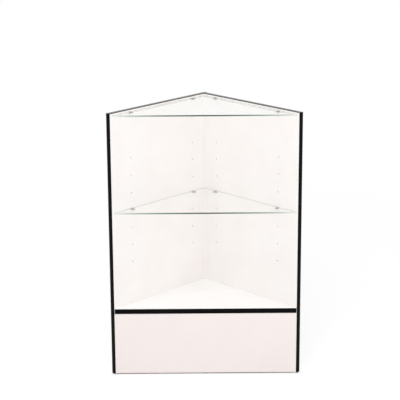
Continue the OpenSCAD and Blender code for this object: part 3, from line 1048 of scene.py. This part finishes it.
def battenScrewShape(start):
    neck = start["Countersink"] + start["Neck"]
    head = turnedShape(start, [
        (0.0, 0.0, 0.0),
        (start["Head Radius"] - start["Edge"], 0.0, 0.6),
        (start["Head Radius"], start["Edge"], 1.0),
        (start["Core Radius"], start["Countersink"], 0.0),
        (start["Core Radius"], neck, 0.0),
        (0.0, neck, 0.0),
    ])
    span, width, depth = start["Recess Span"], start["Recess Width"], start["Recess Depth"]
    # one bar of the cross goes deeper, because two flush floors would tear the cut
    for size in (combine(span, width, depth * 2.0), combine(width, span, depth * 2.3)):
        head = cutFrom(head, addNode(head.tree, "GeometryNodeMeshCube", {"Size": size})[0])
    return joinShapes(head, threadedShape(start, start["Countersink"]))


def dowelShape(start):
    radius, length, chamfer = start["Radius"], start["Length"], start["Chamfer"]
    return turnedShape(start, [
        (0.0, 0.0, 0.0),
        (radius - chamfer, 0.0, 0.5),
        (radius, chamfer, 1.0),
        (radius, length - chamfer, 1.0),
        (radius - chamfer, length, 0.5),
        (0.0, length, 0.0),
    ])


def capShape(start):
    radius, thickness, bend = start["Radius"], start["Thickness"], start["Round"]
    soft = bend * 0.3
    tip = thickness + start["Peg Length"]
    return turnedShape(start, [
        (0.0, 0.0, 0.0),
        (start["Ring Radius"] - start["Ring Width"], 0.0, 0.0),
        (start["Ring Radius"], start["Ring Depth"], 0.0),
        (start["Ring Radius"] + start["Ring Width"], 0.0, 0.0),
        (radius - bend, 0.0, 0.3),
        (radius - soft, soft, 1.0),
        (radius, bend, 1.0),
        (radius, thickness, 0.0),
        (start["Peg Radius"], thickness, 0.0),
        (start["Peg Radius"], tip, 0.0),
        (0.0, tip, 0.0),
    ])


def glideShape(start):
    radius, thickness, bend, nail = (start[name] for name in ("Radius", "Thickness", "Round", "Nail Radius"))
    tip = thickness + start["Nail Length"]
    return turnedShape(start, [
        (0.0, 0.0, 0.0),
        (radius - bend * 3.0, 0.0, 0.3),
        (radius - bend, bend * 0.35, 0.8),
        (radius, bend * 1.2, 1.0),
        (radius, thickness - bend * 0.5, 0.4),
        (radius - bend * 0.5, thickness, 0.2),
        (nail * 1.7, thickness, 0.0),
        (nail, thickness + start["Nail Fillet"], 0.0),
        (nail, tip - start["Nail Point"], 0.0),
        (0.0, tip, 0.0),
    ])


# The film that a drill pushes up round a hole: a low ring, sunk a little into the board
def rimShape(start):
    inner, width, sunk = start["Inner Radius"], start["Width"], start["Sunk"]
    outer = inner + width
    return turnedShape(start, [
        (outer, sunk, 0.0),
        (inner + width * 0.3, start["Rise"], 1.0),
        (inner, sunk, 0.0),
        (outer, sunk, 0.0),
    ])


# Places of the fixings, in metres
fixings = {
    "cornerHeights": (0.097, 0.4825, 0.868),
    "deckScrewEnd": 0.100,  # from each end of the deck
    "deckDowelEnd": 0.165,
    "dowelInSide": 0.010,
    "battenFront": -0.155258,
    "battenWidth": 0.025,
    "battenLow": 0.2069,
    "battenUp": 0.140,  # its screws, from the middle
    "battenLevel": 0.070,
    "glides": {"front": 0.430, "rear": 0.030},
    "lowestHole": 0.408,
    "holePitch": 0.064,
    "holeRows": 7,
    "shelfRow": 3,  # its holes hold pegs
}


# Spots on the sides, each a point and the way that its shape runs in from there
def sideSpots(places, out):
    return [(sidePoint(side, along, out, height), sideWay(side, 0.0, -1.0))
            for side, along, height in places]


screwOut = board - screwCap["Thickness"]
dowelOut = fixings["dowelInSide"]
heights = fixings["cornerHeights"]
middles = [(lower + upper) / 2 for lower, upper in zip(heights, heights[1:])]
cornerScrews = [(-1, -board / 2, height) for height in heights]
cornerDowels = [(-1, -board / 2, height) for height in middles]
deckEnds = [(side, end) for side in sideNames for end in (0.0, cabinet["boardFront"] * math.sqrt(2))]
deckScrews = [(side, abs(end - fixings["deckScrewEnd"]), deckMiddle) for side, end in deckEnds]
deckDowels = [(side, abs(end - fixings["deckDowelEnd"]), deckMiddle) for side, end in deckEnds]
holeRows = [row for row in range(fixings["holeRows"]) if row != fixings["shelfRow"]]
freeHoles = [(side, along, fixings["lowestHole"] + row * fixings["holePitch"])
              for side in sideNames for along in cabinet["holeColumns"] for row in holeRows]
battenHalf = fixings["battenWidth"] / 2
battenMiddle = fixings["battenFront"] + battenHalf
battenLow = fixings["battenLow"]
battenSpots = []
for side in sideNames:
    battenSpots.append((Vector((side * fixings["battenUp"], battenMiddle, battenLow)), up))
    rear = Vector((side * fixings["battenLevel"], battenMiddle + battenHalf, battenLow + battenHalf))
    battenSpots.append((rear, forward))

screwTree = buildSpotTree("boardScrew", boardScrew, boardScrewShape, 11)
battenScrewTree = buildSpotTree("battenScrew", battenScrew, battenScrewShape, 12)
dowelTree = buildSpotTree("flutedDowel", dowel, dowelShape, 13)
capTree = buildSpotTree("screwCap", screwCap, capShape, 14)
glideTree = buildSpotTree("nailedGlide", glide, glideShape, 15)
rimTree = buildSpotTree("drilledRim", holeRim, rimShape, 16)
fixingRuns = {
    "corner_screws": (screwTree, boardScrew, sideSpots(cornerScrews, screwOut), zinc, "zinc_steel"),
    "deck_screws": (screwTree, boardScrew, sideSpots(deckScrews, screwOut), zinc, "zinc_steel"),
    "batten_screws": (battenScrewTree, battenScrew, battenSpots, zinc, "zinc_steel"),
    "corner_dowels": (dowelTree, dowel, sideSpots(cornerDowels, dowelOut), beechAcross, "raw_beech"),
    "deck_dowels": (dowelTree, dowel, sideSpots(deckDowels, dowelOut), beechAcross, "raw_beech"),
    "corner_screw_caps": (capTree, screwCap, sideSpots(cornerScrews, board), whiteCap, "white_cap"),
    "deck_screw_caps": (capTree, screwCap, sideSpots(deckScrews, board), whiteCap, "white_cap"),
}
for side, sideName in sideNames.items():
    for place, along in fixings["glides"].items():
        glideSpot = (sidePoint(side, along, board / 2, 0.0), up)
        nodeName = sideName + "_" + place + "_glide"
        fixingRuns[nodeName] = (glideTree, glide, [glideSpot], glidePlastic, "glide_plastic")
kickSpot = (Vector((0.0, kickMiddle, 0.0)), up)
fixingRuns["kick_glide"] = (glideTree, kickGlide, [kickSpot], glidePlastic, "glide_plastic")
for nodeName, (tree, sizes, spots, material, slotName) in fixingRuns.items():
    fixingMesh = runTree(tree, {**sizes, "Material": material}, nodeName + "_mesh", spots)
    showMesh(nodeName + "_piece", fixingMesh, "cabinet", slotName, nodeName)
rimValues = {**holeRim, "Material": melamines["right_side_panel"]}
rimMesh = runTree(rimTree, rimValues, "peg_hole_rims_mesh", sideSpots(freeHoles, 0.0))
showMesh("peg_hole_rims", rimMesh, "cabinet", "white_board")
basePieces = {
    "kick_batten": beechAcross,
    "left_kick_block": beechUpright,
    "right_kick_block": beechUpright,
}
for nodeName, material in basePieces.items():
    baseMesh = softenedMesh(nodeName, arrises["batten"], [material])
    showMesh(nodeName + "_piece", baseMesh, "cabinet", "raw_beech", nodeName)
print("fixings and base pieces placed")

# Floor, light and camera
white = (1.0, 1.0, 1.0)
room = {
    "floorSize": 60.0,
    "floorShade": (0.80, 0.80, 0.80),
    "shadowKeep": 0.55,  # share of the lit floor that the camera sees in front of plain white
    "footprintRear": 0.1755,  # |x| + y of the sides' outer faces
    "footprintFront": -0.1737,
    "fadeFrom": 0.9,
    "fadeTo": 3.0,
    "worldLight": 0.90,
}


def shadowShare(tree):
    # all of the shadow in the gap under the cabinet, about half round it, none far away
    local = objectVector(tree)
    x, y, z = split(local)
    under = (abs(x) + y < room["footprintRear"]) * (y > room["footprintFront"])
    away = addNode(tree, "ShaderNodeVectorMath", {0: local}, operation="LENGTH")[1]
    near = remap(away, room["fadeFrom"], room["fadeTo"], room["shadowKeep"], 0.0)
    return calc("MAXIMUM", near, under)


def buildFloor():
    made, tree = openMaterial("paleFloor")
    lit = addNode(tree, "ShaderNodeBsdfDiffuse", {"Color": room["floorShade"]})[0]
    pale = addNode(tree, "ShaderNodeBsdfDiffuse", {"Color": white})[0]
    plain = addNode(tree, "ShaderNodeEmission", {"Color": white})[0]
    seen = mixSurfaces(shadowShare(tree), plain, pale)
    both = mixSurfaces(rayShare(tree, "Camera", "Glossy", "Transmission"), lit, seen)
    addNode(tree, "ShaderNodeOutputMaterial", {"Surface": both})
    size = room["floorSize"] / 2
    mesh = bpy.data.meshes.new("paleFloor")
    mesh.from_pydata([(-size, -size, 0.0), (size, -size, 0.0), (size, size, 0.0), (-size, size, 0.0)],
                     [], [(0, 1, 2, 3)])
    mesh.materials.append(made)
    floor = addObject("pale_floor", mesh)
    floor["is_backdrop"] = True


def buildWorld():
    world = bpy.data.worlds.new("softRoom")
    scene.world = world
    world.use_nodes = True
    tree = world.node_tree
    tree.nodes.clear()
    light = addNode(tree, "ShaderNodeBackground", {"Color": white, "Strength": room["worldLight"]})[0]
    plain = addNode(tree, "ShaderNodeBackground", {"Color": white})[0]
    both = mixSurfaces(rayShare(tree, "Camera", "Glossy", "Transmission"), light, plain)
    addNode(tree, "ShaderNodeOutputWorld", {"Surface": both})


lampPlan = {
    "frontTop": {"place": (-0.3, -2.3, 2.7), "aim": (0.0, 0.0, 0.4), "size": 1.8, "power": 32.0},
    "frontRight": {"place": (1.6, -2.6, 0.8), "aim": (0.0, 0.0, 0.4), "size": 1.6, "power": 7.0},
    "rearLeft": {"place": (-2.1, 2.3, 0.5), "aim": (0.0, 0.1, 0.5), "size": 0.8, "power": 7.0},
}


def addLamp(name, plan):
    lamp = bpy.data.lights.new(name, "AREA")
    lamp.size = plan["size"]
    lamp.energy = plan["power"]
    holder = addObject(name, lamp)
    facing = (Vector(plan["aim"]) - Vector(plan["place"])).to_track_quat("-Z", "Y")
    holder.matrix_world = Matrix.Translation(plan["place"]) @ facing.to_matrix().to_4x4()


view = {
    "eye": (-0.0294, -5.0, 2.0722),
    "turn": -0.1415,  # degrees about the upright
    "pitch": -16.37,
    "roll": -0.3465,
    "lens": 129.74,
}


def buildCamera():
    lens = bpy.data.cameras.new("view")
    lens.lens = view["lens"]
    holder = addObject("view", lens)
    turn = Matrix.Rotation(math.radians(view["turn"]), 4, "Z")
    pitch = Matrix.Rotation(math.radians(90.0 + view["pitch"]), 4, "X")
    roll = Matrix.Rotation(math.radians(view["roll"]), 4, "Z")
    holder.matrix_world = Matrix.Translation(view["eye"]) @ turn @ pitch @ roll
    scene.camera = holder


buildFloor()
buildWorld()
for lampName, plan in lampPlan.items():
    addLamp(lampName, plan)
buildCamera()
scene.view_settings.view_transform = "Standard"
print("room, lamps and camera ready")

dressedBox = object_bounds()
sizes = {"cad": [list(corner) for corner in cadBox], "visual": [list(corner) for corner in dressedBox]}
